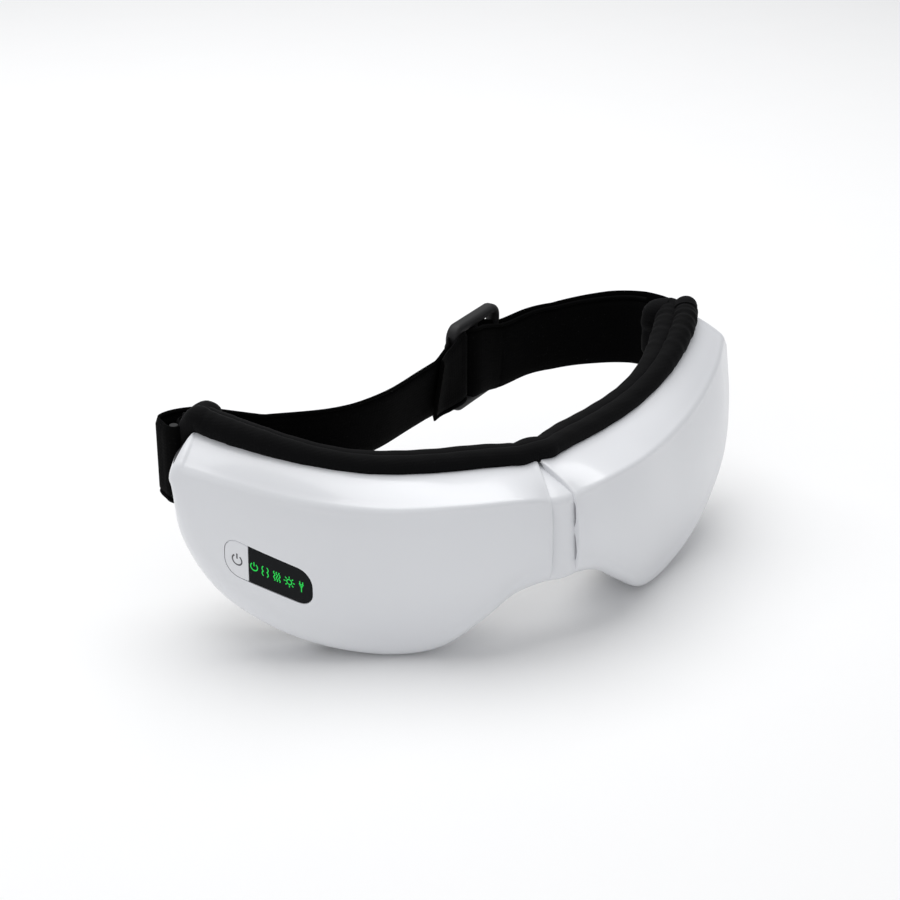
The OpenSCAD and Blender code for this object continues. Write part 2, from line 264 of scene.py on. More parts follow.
def shell_grid(grid):
    """The pod's grid with a turned-in lip before its first row and a dome after its last row."""
    first, last = grid[0], grid[-1]
    inward = unit(first.mean(0) - first)
    ahead = unit((grid[0] - grid[1]).mean(0))
    turn = np.radians(np.array([90, 60, 30]))[:, None, None]
    lip = first + lip_round * (ahead * np.sin(turn) + inward * (1 - np.cos(turn)))
    flange = lip[:1] + inward * lip_depth
    middle = last.mean(0)
    out = unit(middle - grid[-3].mean(0)) * dome_peak
    dome_turn = np.radians(dome_angles)[:, None, None]
    dome = middle + (last - middle) * np.cos(dome_turn) + out * np.sin(dome_turn)
    return np.concatenate([flange, lip, grid, dome])


def mirrored(points, sign):
    """The points of the +X pod, or their mirror image for sign -1."""
    return points * (sign, 1, 1)


def add_wall(piece, thickness):
    """Gives a sheet a wall of that many millimetres, inwards from its face."""
    solid = piece.modifiers.new("wall", "SOLIDIFY")
    solid.thickness = thickness * MM
    solid.offset = -1
    finish_modifiers(piece)


def make_shell(name, sign):
    """One shell with its wall, on the pod that sign names."""
    shell = make_piece(name, mirrored(shell_grid(pod_grid), sign), flip=sign > 0)
    add_wall(shell, wall)
    return shell


left_shell = make_shell("left_shell_skin", -1)
right_shell = make_shell("right_shell_skin", 1)
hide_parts("left_shell")
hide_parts("right_shell")

# %% [markdown]
# ## The control panel's own frame
# The panel follows the curved front of one pod. Its upper and lower edges run downhill while its
# ends stay upright, so its frame has a slanted first axis and an upright second one. A quadratic
# fitted to the shell's points tells how far each spot of the panel lies from its flat frame.

# %% Panel frame and height of the face
panel_middle = np.array([-81.4, 15.9, 30.4])
panel_turn = math.radians(-36)
panel_slant = math.radians(24)
panel_level = np.array([math.cos(panel_turn), math.sin(panel_turn), 0])
panel_axis = panel_level * math.cos(panel_slant) - np.array([0, 0, math.sin(panel_slant)])
panel_out = np.array([math.sin(panel_turn), -math.cos(panel_turn), 0])
fit_reach = (17, 9, 5)


def face_terms(u, w):
    """The terms 1, u, w, u^2, uw, w^2 and u^3 of the fitted face."""
    return np.stack([np.ones_like(u), u, w, u * u, u * w, w * w, u**3], axis=-1)


offset = mirrored(pod_grid, -1).reshape(-1, 3) - panel_middle
grid_u = offset @ panel_level / math.cos(panel_slant)
grid_w = offset[:, 2] + grid_u * math.sin(panel_slant)
grid_h = offset @ panel_out
near = (abs(grid_u) < fit_reach[0]) & (abs(grid_w) < fit_reach[1]) & (abs(grid_h) < fit_reach[2])
face_fit = np.linalg.lstsq(face_terms(grid_u[near], grid_w[near]), grid_h[near], rcond=None)[0]
print("face under the panel: depth", grid_h[near].min().round(2), "to", grid_h[near].max().round(2))


def on_panel(uw, lift=0.0):
    """Points of the panel at (u, w), standing lift off the curved face."""
    u, w = uw[..., 0], uw[..., 1]
    height = face_terms(u, w) @ face_fit + lift
    return (panel_middle + u[..., None] * panel_axis + w[..., None] * np.array([0, 0, 1])
            + height[..., None] * panel_out)


def rounded_outline(u0, u1, half, left_r, right_r, n=9):
    """Closed outline of a rectangle with round corners, counter-clockwise in (u, w)."""
    corners = [(u1 - right_r, half - right_r, right_r, 0), (u0 + left_r, half - left_r, left_r, 90),
               (u0 + left_r, left_r - half, left_r, 180), (u1 - right_r, right_r - half, right_r, 270)]
    turn = np.radians(np.linspace(0, 90, n))
    return np.concatenate([np.stack([u + r * np.cos(turn + math.radians(a)),
                                     w + r * np.sin(turn + math.radians(a))], axis=-1)
                           for u, w, r, a in corners])

# %% [markdown]
# ## Cut the panel and the charging slot
# The real moulding has a window in it for the panel and a slot below for the charging socket. A
# Boolean with a prism of the same outline cuts both, and the prism is thrown away afterwards.

# %% Cut openings in the left shell
panel_half = 5.75
panel_end = 14.0
panel_corner = 4.6
split = -6.2
socket_middle = (-62, 15.5)
socket_turn = math.radians(-25)


def prism(name, outline_points, low, high, place):
    """A closed prism: the outline at two lifts, with both ends pinched to its middle."""
    middle = outline_points.mean(0)
    rings = [middle + (outline_points - middle) * s for s in (1e-5, 1, 1, 1e-5)]
    points = np.stack([place(ring, lift) for ring, lift in zip(rings, (low, low, high, high))])
    return make_piece(name, points, wrap=True)


def cut(piece, cutter):
    """Takes the cutter's volume out of the piece and removes the cutter."""
    face_outward(cutter.data)
    boolean = piece.modifiers.new("cut", "BOOLEAN")
    boolean.object = cutter
    boolean.solver = "EXACT"
    finish_modifiers(piece)
    bpy.data.objects.remove(cutter)


def in_socket(points, lift):
    """Places the charging slot's outline under the pod, upright, at height lift."""
    c, s = math.cos(socket_turn), math.sin(socket_turn)
    u, w = points[..., 0], points[..., 1]
    return np.stack([socket_middle[0] + u * c - w * s, socket_middle[1] + u * s + w * c,
                     np.full(len(u), lift)], axis=-1)


panel_outline = rounded_outline(-panel_end, panel_end, panel_half, panel_corner, panel_corner)
cut(left_shell, prism("panel_cutter", panel_outline, -6.0, 4.0, on_panel))
socket_outline = rounded_outline(-4.8, 4.8, 1.9, 1.6, 1.6)
cut(left_shell, prism("socket_cutter", socket_outline, -3.0, 8.0, in_socket))
for shell in (left_shell, right_shell):
    tidy_mesh(shell.data, 35)
print("left shell:", len(left_shell.data.polygons), "faces after the cuts")

# %% [markdown]
# ## Window, button and their marks
# The dark window and the white button are separate clear and moulded pieces that sit flush in the
# cut-out with rounded edges. An inlay is an outline shrunk in rings towards its middle, lifted onto
# the face, with a quarter-round edge and a skirt. The marks are generic signs for on, massage,
# warmth, light and charge, drawn as raised ribbons so that they are real geometry.

# %% Inlays
inlay_gap = 0.12
key_gap = 0.1
square_corner = 0.5
cap_rings = 12
edge_rings = 6


def inlay(name, outline_points, lift, skirt, edge=0.3):
    """A closed cap on the panel: rings grow from the middle, turn down by a quarter round of radius
    edge, drop by skirt, and close again underneath."""
    middle = outline_points.mean(0)
    grow = np.concatenate([np.linspace(1e-5, 0.96, cap_rings), np.ones(edge_rings), [1.0, 1e-5]])
    turn = np.radians(np.linspace(0, 90, edge_rings))
    inset = np.concatenate([np.full(cap_rings, edge), edge * (1 - np.sin(turn)), [0, 0]])
    drop = np.concatenate([np.zeros(cap_rings), edge * (1 - np.cos(turn)), [skirt, skirt]])
    size = np.abs(outline_points - middle).max(0)
    rings = [middle + (outline_points - middle) * g * (1 - i / size) for g, i in zip(grow, inset)]
    points = np.stack([on_panel(ring, lift - d) for ring, d in zip(rings, drop)])
    return make_piece(name, points, wrap=True, sharp=50)


inlay_half = panel_half - inlay_gap
window_outline = rounded_outline(split, panel_end - inlay_gap, inlay_half, square_corner,
                                 panel_corner - key_gap)
button_outline = rounded_outline(-panel_end + inlay_gap, split - key_gap, inlay_half,
                                 panel_corner - inlay_gap, square_corner)
window = inlay("display_glass", window_outline, lift=0.02, skirt=1.4)
button = inlay("power_key", button_outline, lift=0.0, skirt=1.5)
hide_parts("display_window")
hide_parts("power_button")


# %% Marks on the panel
mark_root = -0.05


def ribbon(path, width, lift):
    """Closed strip of a width along a path in (u, w): four points per station, from just under the
    face to lift above it."""
    path = np.asarray(path, float)
    side = unit(np.gradient(path, axis=0))[:, ::-1] * (-1, 1) * width / 2
    corners = [on_panel(path + side, mark_root), on_panel(path + side, lift),
               on_panel(path - side, lift), on_panel(path - side, mark_root)]
    return np.stack(corners, axis=1)


def arc_path(centre, radius, start, stop, n=24):
    """Points of a circle's arc between two angles in degrees."""
    turn = np.radians(np.linspace(start, stop, n))
    return np.stack([centre[0] + radius * np.cos(turn), centre[1] + radius * np.sin(turn)], axis=-1)


def bar_path(a, b):
    """Straight path of three points from a to b."""
    return np.linspace(a, b, 3)


def power_sign(u, w, size):
    """A ring open at the top with a bar through the gap."""
    return [arc_path((u, w), size, 125, 415), bar_path((u, w + 0.25 * size), (u, w + 1.35 * size))]


def massage_sign(u, w):
    """Two braces that face each other, each bowed twice by |sin|^0.7."""
    rise = np.linspace(-1.5, 1.5, 25)
    bow = 0.55 + 0.42 * np.abs(np.sin(rise * np.pi / 1.5)) ** 0.7
    return [np.stack([u + s * bow, w + rise], axis=-1) for s in (-1, 1)]


def warmth_sign(u, w):
    """Three rising sine waves, side by side."""
    rise = np.linspace(-1.5, 1.5, 21)
    sway = 0.22 * np.sin(rise * 4.2)
    return [np.stack([u + k * 0.8 + sway, w + rise], axis=-1) for k in (-1, 0, 1)]


def light_sign(u, w):
    """A ring with eight rays."""
    turns = np.radians(np.arange(0, 360, 45))
    rays = [bar_path((u + 1.15 * math.cos(a), w + 1.15 * math.sin(a)),
                     (u + 1.75 * math.cos(a), w + 1.75 * math.sin(a))) for a in turns]
    return [arc_path((u, w), 0.78, 0, 360, 30), *rays]


def charge_sign(u, w):
    """A plug with two pins, its body and its lead."""
    bars = [((-0.45, 1.7), (-0.45, 0.9)), ((0.45, 1.7), (0.45, 0.9)), ((-0.75, 0.75), (0.75, 0.75)),
            ((-0.5, 0.3), (0.5, 0.3)), ((-0.3, -0.1), (0.3, -0.1)), ((0, 0), (0, -1.7))]
    return [bar_path((u + a[0], w + a[1]), (u + b[0], w + b[1])) for a, b in bars]


def make_marks(name, paths, width, lift):
    """One piece from many ribbons, each closed at its ends."""
    verts, quads, count = [], [], 0
    for path in paths:
        strip = ribbon(path, width, lift)
        rows = len(strip)
        verts.append(strip.reshape(-1, 3))
        ends = np.array([[0, 1, 2, 3], np.array([3, 2, 1, 0]) + 4 * (rows - 1)])
        quads.append(np.concatenate([grid_quads(rows, 4, wrap=True)[:, ::-1], ends[:, ::-1]]) + count)
        count += 4 * rows
    mesh = bpy.data.meshes.new(name)
    mesh.from_pydata(to_row(np.concatenate(verts)).tolist(), [], np.concatenate(quads).tolist())
    face_outward(mesh)
    return add_object(name, mesh)


lit_paths = (power_sign(-4.5, 0.0, 1.1) + massage_sign(-1.0, 0.0) + warmth_sign(2.7, 0.0)
             + light_sign(6.6, 0.0) + charge_sign(10.4, 0.0))
key_paths = [power_sign(-9.9, -0.2, 1.5)[0], bar_path((-9.9, 0.2), (-9.9, 1.75))]
lit_marks = make_marks("lit_signs", lit_paths, width=0.28, lift=0.06)
key_mark = make_marks("key_sign", key_paths, width=0.42, lift=0.04)
print("marks:", len(lit_paths), "lit ribbons")

# %% [markdown]
# ## Linings at the nose and the temple
# Behind the cushion's two ends the pod would stand open. A moulded lining just inside the rim would
# close it, so one is made for each end. Each lining is a ruled sheet between the two rear edges, with
# a slight crown, and Solidify gives it a wall.

# %% Linings
lining_wall = 0.9
lining_inset = 0.6
lining_crown = 0.8
lining_across = np.linspace(0, 1, 14)[:, None, None]
rearward = np.array([-0.42, 0.91, 0])


def lining_grid(t):
    """Rows of points from the rear rim to the lower rear edge at each t: both ends move in along the
    shell by the inset and towards each other by 3%, and the row crowns rearward by a sine."""
    r, c, l, b = (line(p, t) for p in (rim_line, crease_line, lower_line, back_line))
    top = r - lining_inset * unit(r - c) - 0.03 * (r - b)
    foot = b - lining_inset * unit(b - l) + 0.03 * (r - b)
    crown = rearward * lining_crown * np.sin(np.pi * lining_across)
    return ((1 - lining_across) * top + lining_across * foot + crown).transpose(1, 0, 2)


linings = []
for side, sign in (("left", -1), ("right", 1)):
    for place, start, stop in (("nose", 0.07, 0.24), ("temple", 0.82, 1.0)):
        rows = lining_grid(np.linspace(start, stop, 24))
        if place == "temple":
            u = lining_across.transpose(1, 0, 2)
            dome = shell_grid(pod_grid)[-len(dome_angles):]
            rows = np.concatenate([rows, (1 - u) * dome[:, :1] + u * dome[:, -1:]])
        lining = make_piece(side + "_" + place + "_lining", mirrored(rows, sign), flip=sign < 0)
        add_wall(lining, lining_wall)
        linings.append((lining, side + "_pod"))
print("linings:", [piece.name for piece, body in linings])

# %% [markdown]
# ## The cover between the pods
# The hinge hides under a domed cover that grows out of one pod. It is a surface of revolution about
# the hinge axis, so the other pod can turn round it without opening a gap: a profile of radius and
# height is carried round the axis through the same sector as in the engineering model.

# %% Bridge cover
def revolved(profile, start, stop, n):
    """Grid of a profile of (radius, height) turned about the hinge axis from start to stop degrees."""
    turn = np.radians(np.linspace(start, stop, n))[:, None]
    radius, height = np.asarray(profile).T
    return np.stack([radius * np.cos(turn), radius * np.sin(turn), height + 0 * turn], axis=-1)


shoulder = np.radians(np.linspace(0, 66, 12))
dome_profile = np.concatenate([
    [(15.0, 21.3), (16.1, 21.0), (16.8, 21.6)],
    np.stack([np.linspace(16.9, 15.6, 10), np.linspace(23, 44.6, 10)], axis=-1),
    np.stack([12.8 + 2.8 * np.cos(shoulder), 45.2 + 2.8 * np.sin(shoulder)], axis=-1),
    np.stack([np.linspace(12.9, 0.02, 12), 48.3 + 4.6 * np.linspace(0, 1, 12) ** 0.95], axis=-1)])
bridge_wall = 1.3
bridge_sector = (-112, -14)
bridge = make_piece("bridge_skin", revolved(dome_profile, *bridge_sector, 60), sharp=60)
add_wall(bridge, bridge_wall)
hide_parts("bridge_cover")
print("bridge cover:", len(bridge.data.polygons), "faces")

# %% [markdown]
# ## Cushions behind the pods
# A foam cushion rings each eye. It swells over the rim, is thicker at the temple, and is hollowed
# for the eye. Its closed outline is drawn at each station and carried along the pod. Cloth under
# pressure then rounds it the way foam rounds its cover.

# %% Cushion surface
def closed_line(points, n):
    """Closed Catmull-Rom lines through the points' second-last axis, n points each."""
    k = points.shape[-2]
    f = np.arange(n) / n * k
    i = f.astype(int)
    u = (f - i)[:, None]
    return catmull_rom(*(points[..., (i + step) % k, :] for step in (-1, 0, 1, 2)), u)


pod_middle = (50, 7, 30)
pod_turn = math.radians(22)
pod_axes = np.array([(math.cos(pod_turn), math.sin(pod_turn), 0),
                     (-math.sin(pod_turn), math.cos(pod_turn), 0), (0, 0, 1)])
hollow_middle = (1, 21.5, -1)
hollow_half_wide, hollow_half_high, hollow_depth = 24, 17.8, 14.4
half_fold = math.radians(48)
cushion_gap = 1.2


def in_pod(p):
    """Points in the pod's own axes, from its middle: along the pod, rearward and up."""
    return (p - pod_middle) @ pod_axes.T


def hollow_room(q):
    """1 less the squares of the two shares of the hollow's half width and half height: 1 in its
    middle, 0 on its outline and below 0 outside it."""
    return 1 - (q[..., 0] / hollow_half_wide) ** 2 - (q[..., 2] / hollow_half_high) ** 2


def eye_hollow(p):
    """Moves points that lie in the eye's ellipsoid forward onto its front, with a soft edge."""
    q = in_pod(p) - hollow_middle
    room = hollow_room(q)
    front = -hollow_depth * np.sqrt(np.clip(room, 0, 1))
    move = np.clip(q[..., 1] - front, 0, None) * smooth(room * 5)
    return p - move[..., None] * pod_axes[1]


def clear_fold(p, gap):
    """Pushes points out of the wedge that the other pod sweeps: each stays gap beyond the plane
    through the hinge axis at half the fold."""
    normal = np.array([math.cos(half_fold), -math.sin(half_fold), 0])
    return p + np.maximum(gap - p @ normal, 0)[..., None] * normal


seat_columns = 12
held_columns = seat_columns + 3
seat_depth = 4.6


def cushion_grid(t):
    """Closed ring per station t: flat seat on the cover, roll over the rim, crown with the eye hollow,
    and the roll under the lower edge. What the hollow moves is kept seat_depth behind the seat."""
    r, c, l, b = (line(p, t) for p in (rim_line, crease_line, lower_line, back_line))
    top = r - 1.5 * unit(r - c) - 0.09 * (r - b)
    foot = b - 1.5 * unit(b - l) + 0.09 * (r - b)
    up = unit(top - foot)
    temple = smooth((t - 0.5) / 0.4)[:, None]
    depth = 8 + 12 * temple
    rise = 3.0 + 7.5 * temple
    back = np.array([0.0, 1, 0])
    span = np.linspace(0.08, 0.94, 22)[:, None, None]
    flat = np.linspace(0.97, 0.03, seat_columns)[:, None, None]
    crown = (1 - span) * top + span * foot + back * (depth + 1.2 * np.sin(np.pi * span))
    seat = (1 - flat) * top + flat * foot + rearward * 2.4
    over_rim = [top + up * 1.8 + back * 3.4, top + up * rise + back * 0.6 * depth,
                top + up * (rise - 2) + back * 0.93 * depth]
    under_edge = [foot - up * 0.6 + back * 0.9 * depth, foot - up * 2.2 + back * 0.6 * depth,
                  foot - up * 1.6 + back * 3.0]
    keys = np.concatenate([seat, np.stack(over_rim), crown, np.stack(under_edge)]).transpose(1, 0, 2)
    seat_back = seat_depth + in_pod(keys)[:, :seat_columns, 1].mean(1)
    pushed = eye_hollow(keys)
    lift = np.clip(seat_back[:, None] - in_pod(pushed)[..., 1], 0, None)
    in_hollow = (np.abs(pushed - keys).sum(-1) > 0.01)[..., None]
    moved = np.where(in_hollow, pushed + lift[..., None] * pod_axes[1], pushed)
    moved[:, :held_columns] = keys[:, :held_columns]
    return clear_fold(closed_line(moved, 132), cushion_gap)


cushion_side = 89.4
narrow_from = 41
cushion = closed_rows(cushion_grid(np.linspace(0.075, 0.94, 90)), 2.0)
past_side = np.clip(cushion[..., 0] - cushion_side, 0, None)
cushion[..., 0] -= past_side * smooth((cushion[..., 1] - narrow_from) / 3)
print("cushion grid:", cushion.shape)


# %% Cloth under pressure
cushion_voxel = 2.2
cloth_pressure = 4
cloth_frames = 20
swell_cap = 1.0
seam_room = -0.22
seam_width = 0.07
seam_depth = 0.9


def points_of(mesh):
    """The mesh's points as an array, one row each."""
    flat = np.zeros(len(mesh.vertices) * 3)
    mesh.vertices.foreach_get("co", flat)
    return flat.reshape(-1, 3)


def inflate(piece, cap):
    """Remeshes the piece, swells it as pressurised cloth, and lets no point go further than cap."""
    remesh = piece.modifiers.new("remesh", "REMESH")
    remesh.mode = "VOXEL"
    remesh.voxel_size = cushion_voxel * MM
    finish_modifiers(piece)
    even = piece.modifiers.new("even", "SMOOTH")
    even.factor, even.iterations = 0.5, 8
    finish_modifiers(piece)
    start = points_of(piece.data)
    cloth = piece.modifiers.new("cloth", "CLOTH")
    cloth.settings.use_pressure = True
    cloth.settings.uniform_pressure_force = cloth_pressure
    cloth.settings.effector_weights.gravity = 0
    cloth.settings.quality = 4
    cloth.point_cache.frame_start, cloth.point_cache.frame_end = 1, cloth_frames
    for frame_number in range(1, cloth_frames + 1):
        bpy.context.scene.frame_set(frame_number)
    finish_modifiers(piece)
    move = points_of(piece.data) - start
    far = np.linalg.norm(move, axis=1, keepdims=True)
    moved = start + move * np.minimum(1, cap * MM / np.maximum(far, 1e-9))
    piece.data.vertices.foreach_set("co", moved.ravel())
    bpy.context.scene.frame_set(1)
    shade_smooth(piece.data)
    finer = piece.modifiers.new("finer", "SUBSURF")
    finer.levels = finer.render_levels = 1
    finish_modifiers(piece)
    print(piece.name, "swelled by at most", (far.max() / MM).round(2), "mm, kept to", cap)


def sew_seam(piece, sign, depth):
    """Sinks a sewn channel round the eye hollow: each point near the ellipse where the hollow's room
    is seam_room moves against its normal by depth times a Gaussian, on faces that look back."""
    points = points_of(piece.data)
    normals = np.zeros(points.size)
    piece.data.vertex_normals.foreach_get("vector", normals)
    normals = normals.reshape(-1, 3)
    pod = (points / MM - (0, hinge_y, 0)) * (sign, 1, 1)
    room = hollow_room(in_pod(pod) - hollow_middle)
    channel = np.exp(-(((room - seam_room) / seam_width) ** 2)) * smooth(normals[:, 1] * 2)
    sunk = points - normals * (channel * depth * MM)[:, None]
    piece.data.vertices.foreach_set("co", sunk.ravel())
    piece.data.update()
    print(piece.name, "seam touches", int((channel > 0.2).sum()), "points")


cushions = []
for side, sign in (("left", -1), ("right", 1)):
    pad = make_piece(side + "_cushion", mirrored(cushion, sign), wrap=True, flip=sign < 0)
    inflate(pad, swell_cap)
    sew_seam(pad, sign, seam_depth)
    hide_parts(side + "_eye_pad")
    cushions.append(pad)

# %% [markdown]
# ## The sewn rolls along the brow
# The cushion's fabric runs over both rims and across the nose as two sewn rolls with a groove
# between them: a slim one that laps over the shell, and a fuller one behind. Each is a tube along a
# line set off from the rim. Near the temples small folds cross it, where the cloth is gathered.

# %% Brow rolls
roll_turns = np.linspace(0, 2 * np.pi, 28, endpoint=False)


def tube(path, radius):
    """Grid of circles of a radius round a path: one axis lies in plan, square to the path, and the
    other is square to both."""
    ahead = unit(np.gradient(path, axis=0))
    side = unit(np.cross(ahead, (0, 0, 1.0)) + 1e-6)
    top = np.cross(side, ahead)
    turn = roll_turns[None, :, None]
    round_path = side[:, None] * np.cos(turn) + top[:, None] * np.sin(turn)
    return path[:, None] + radius[..., None] * round_path


def brow_roll(name, back, rise, temple_back, temple_rise, radius, temple_radius, ends, nose, last):
    """A roll along both rims: its line stands back and up from the rim by amounts that grow towards
    the temples, and its radius grows too. Two sines at different pitches make the folds that cross it
    near the temples, a quarter millimetre deep on the +X side and less on the other."""
    t = np.linspace(0.07, last, 26)
    temple = smooth((t - 0.5) / 0.4)
    near_nose = 0.55 + 0.45 * smooth(t / 0.25)
    offset = [-0.8 * t, back * near_nose + temple_back * temple, rise + temple_rise * temple]
    half = np.concatenate([line(rim_line, t) + np.stack(offset, axis=-1), ends])
    at = np.linspace(0, 1, 420)
    path = line(np.concatenate([half[::-1] * (-1, 1, 1), [nose], half]), at)
    outward = smooth((abs(path[:, 0]) - 55) / 30)
    gathered = outward * np.where(path[:, 0] > 0, 0.26, 0.07)
    at = at[:, None]
    folds = np.sin(at * 330 + 1.5 * np.cos(roll_turns + 1)) * np.sin(at * 97 + 1)
    uneven = 0.05 * np.sin(3 * roll_turns + at * 150)
    fat = (radius + temple_radius * outward)[:, None] + folds * gathered[:, None] + uneven
    piece = make_piece(name, closed_rows(tube(path, fat), 2.0), wrap=True)
    print(name, "highest line", path[:, 2].max().round(1), "mm")
    return piece


front_roll = brow_roll(
    "front_brow_roll", back=2.7, rise=1.5, temple_back=0.4, temple_rise=1.8, radius=3.2,
    temple_radius=0.7, ends=[(89.6, 47.3, 65.5), (89.4, 48.6, 59)], nose=(0, 0.9, 55.6), last=0.97)
rear_roll = brow_roll(
    "rear_brow_roll", back=6.6, rise=0.7, temple_back=5.0, temple_rise=1.2, radius=3.9,
    temple_radius=0.7, ends=[(82.0, 52.0, 66.5), (83.2, 53.6, 61), (83.6, 54.0, 53)],
    nose=(0, 3.4, 55.2), last=0.9)

# %% [markdown]
# ## Webbing and buckle
# The strap is 25 mm woven elastic. A ribbon carried along its route in plan, with its own UV map,
# lets the weave follow the strap. One half loops round the pod's bar and round the buckle's end; the
# other wraps the buckle's middle bar and runs back on itself, which is how a tri-glide holds.

# %% Straps
strap_low, strap_high, strap_thick = 43, 68, 1.5
ripple_at = 46


def webbing(name, route, hang, n):
    """Closed ribbon of n stations along a plan route: its section is a flat bar with rounded edges; U
    runs along it in metres and V across it. hang lists (x, lean, sag): at that x the top edge leans
    forward by lean and falls by a quarter of it, and the whole ribbon sags. A low ripple crosses it."""
    route = np.column_stack([np.asarray(route, float), np.zeros(len(route))])
    plan = line(route, np.linspace(0, 1, n))
    side = unit(np.cross(unit(np.gradient(plan, axis=0)), (0, 0, 1.0)))
    turn = np.radians(np.linspace(-90, 90, 5))
    heights = np.linspace(strap_low, strap_high, 12)[1:-1]
    edge = strap_thick / 2
    across = np.concatenate([np.full(len(heights), edge), edge * np.cos(turn),
                             np.full(len(heights), -edge), -edge * np.cos(turn)])
    up = np.concatenate([heights, strap_high - edge + edge * np.sin(turn),
                         heights[::-1], strap_low + edge - edge * np.sin(turn)])
    upright = np.array([0, 0, 1.0]) * up[None, :, None]
    rows = plan[:, None] + side[:, None] * across[None, :, None] + upright
    x = plan[:, :1]
    at_x, *amounts = np.asarray(hang, float).T
    lean, sag = (np.interp(x, at_x, amount) for amount in amounts)
    share = (rows[..., 2] - strap_low) / (strap_high - strap_low)
    rows[..., 1] -= lean * share
    rows[..., 2] -= sag + 0.25 * lean * share
    rows[..., 2] += 0.5 * np.sin(x / 7.5) * smooth(1 - abs(x - ripple_at) / 24)
    steps = np.concatenate([[0], np.cumsum(np.linalg.norm(np.diff(plan, axis=0), axis=1))])
    rows = closed_rows(rows, 0.2)
    steps = np.concatenate([np.full(4, steps[0]), steps, np.full(4, steps[-1])])
    uv = np.stack(np.broadcast_arrays(steps[:, None] * MM, up[None, :] * MM), axis=-1)
    return make_piece(name, rows, wrap=True, uv=uv, sharp=70)


buckle_at = (24, 74.4)
buckle_turn = math.radians(29)


def in_plan(u, v):
    """x and y of a point that lies u along the buckle and v across it."""
    c, s = math.cos(buckle_turn), math.sin(buckle_turn)
    return buckle_at[0] + u * c - v * s, buckle_at[1] + u * s + v * c


def by_buckle(points):
    """Plan points given along and across the buckle."""
    return [in_plan(u, v) for u, v in points]


left_loop = [(-86.5, 54.8), (-90.6, 53.2), (-91.7, 50.2), (-92.4, 47.9), (-94.3, 47.2), (-95.9, 48.4),
             (-96.3, 51.5), (-95, 58), (-85, 60), (-66, 54), (-46, 48), (-28, 50), (-10, 58)]
left_end = [(-20, 1.2), (-15, 2.2), (-8.4, 1.7), (-7.6, -1.2), (-12, -2.5), (-22, -1.0), (-28, -1.4)]
right_loop = [(94.0, 54.0), (95.7, 51.2), (96.1, 49.2), (95.2, 47.6), (93.6, 47.3), (92.1, 48.4),
              (91.7, 51), (92.2, 57), (91.4, 63), (88.4, 69.8), (80.6, 76.9), (66.3, 83.0), (51, 84.5),
              (37, 81.9)]
right_wrap = [(9, 2.5), (0, 2.6), (-4.8, 2.0), (-5.0, -1.2), (-1, -2.7), (8, -2.2), (13.5, -2.4)]
right_tail = [(38, 78.9), (51, 81.6), (65, 80.2), (76, 75.0), (83.6, 69.2), (86.8, 64.0)]
left_hang = [(-97, 0, 0), (-82, 1, 0.3), (-66, 7, 0.8), (-40, 8, 0.2), (-2, 7, -0.2), (8, 3, 0.3),
             (14, 0, 0)]
right_hang = [(14, 0, 0), (26, 0.5, 0.6), (36, 2.5, 2.8), (60, 2.5, 2.4), (80, 0.5, 0.8), (92, 0, 0)]
right_route = right_loop + by_buckle(right_wrap) + right_tail
left_webbing = webbing("left_webbing", left_loop + by_buckle(left_end), left_hang, n=340)
right_webbing = webbing("right_webbing", right_route, right_hang, n=420)
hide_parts("left_strap")
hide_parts("right_strap")


# %% Buckle
buckle_half_wide, buckle_half_high, buckle_corner = 13.4, 13.5, 3.2
buckle_height = (strap_low + strap_high) / 2


def bar_grid(path, wide, thick, closed=False):
    """Rounded bar along a path in the buckle's plane: its section is a superellipse wide in the plane
    and thick across it, |x|^3 + |y|^3 = 1 in shape."""
    ahead = unit((np.roll(path, -1, 0) - np.roll(path, 1, 0)) if closed else np.gradient(path, axis=0))
    side = np.stack([-ahead[:, 1], ahead[:, 0]], axis=-1)
    turn = np.linspace(0, 2 * np.pi, 20, endpoint=False)
    x = np.sign(np.cos(turn)) * np.abs(np.cos(turn)) ** 0.67 * wide / 2
    y = np.sign(np.sin(turn)) * np.abs(np.sin(turn)) ** 0.67 * thick / 2
    flat = path[:, None] + side[:, None] * x[None, :, None]
    points = np.stack([*in_plan(flat[..., 0], y), flat[..., 1]], axis=-1)
    return np.concatenate([points, points[:1]]) if closed else closed_rows(points, 0.1)


frame_path = rounded_outline(-buckle_half_wide, buckle_half_wide, buckle_half_high, buckle_corner,
                             buckle_corner, 10) + (0, buckle_height)
middle_path = np.stack([np.zeros(12), np.linspace(42.2, 68.8, 12)], axis=-1)
frame_grid = bar_grid(frame_path, wide=3.4, thick=4.4, closed=True)
buckle_frame = make_piece("buckle_frame", frame_grid, wrap=True, sharp=60)
middle_grid = bar_grid(middle_path, wide=3.6, thick=2.6)
middle_bar = make_piece("buckle_middle_bar", middle_grid, wrap=True, sharp=60)
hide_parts("strap_buckle")
print("buckle:", [round(v / MM, 1) for v in buckle_frame.dimensions], "mm")

# %% [markdown]
# ## Shared surface effects
# Two effects are used by several finishes, so each is a node group with its own inputs: a fine
# moulded grain, and a woven cloth of crossing threads. A group gives back only a height or a tone;
# the shader stays in the material.

# %% Node groups
def new_group(name, pitch, value):
    """An empty shader node group that takes a vector and a pitch and gives a height and a tone, with
    its two end nodes."""
    group = bpy.data.node_groups.new(name, "ShaderNodeTree")
    group.interface.new_socket("Vector", in_out="INPUT", socket_type="NodeSocketVector")
    socket = group.interface.new_socket(pitch, in_out="INPUT", socket_type="NodeSocketFloat")
    socket.default_value = value
    for label in ("Height", "Tone"):
        group.interface.new_socket(label, in_out="OUTPUT", socket_type="NodeSocketFloat")
    return group, group.nodes.new("NodeGroupInput"), group.nodes.new("NodeGroupOutput")


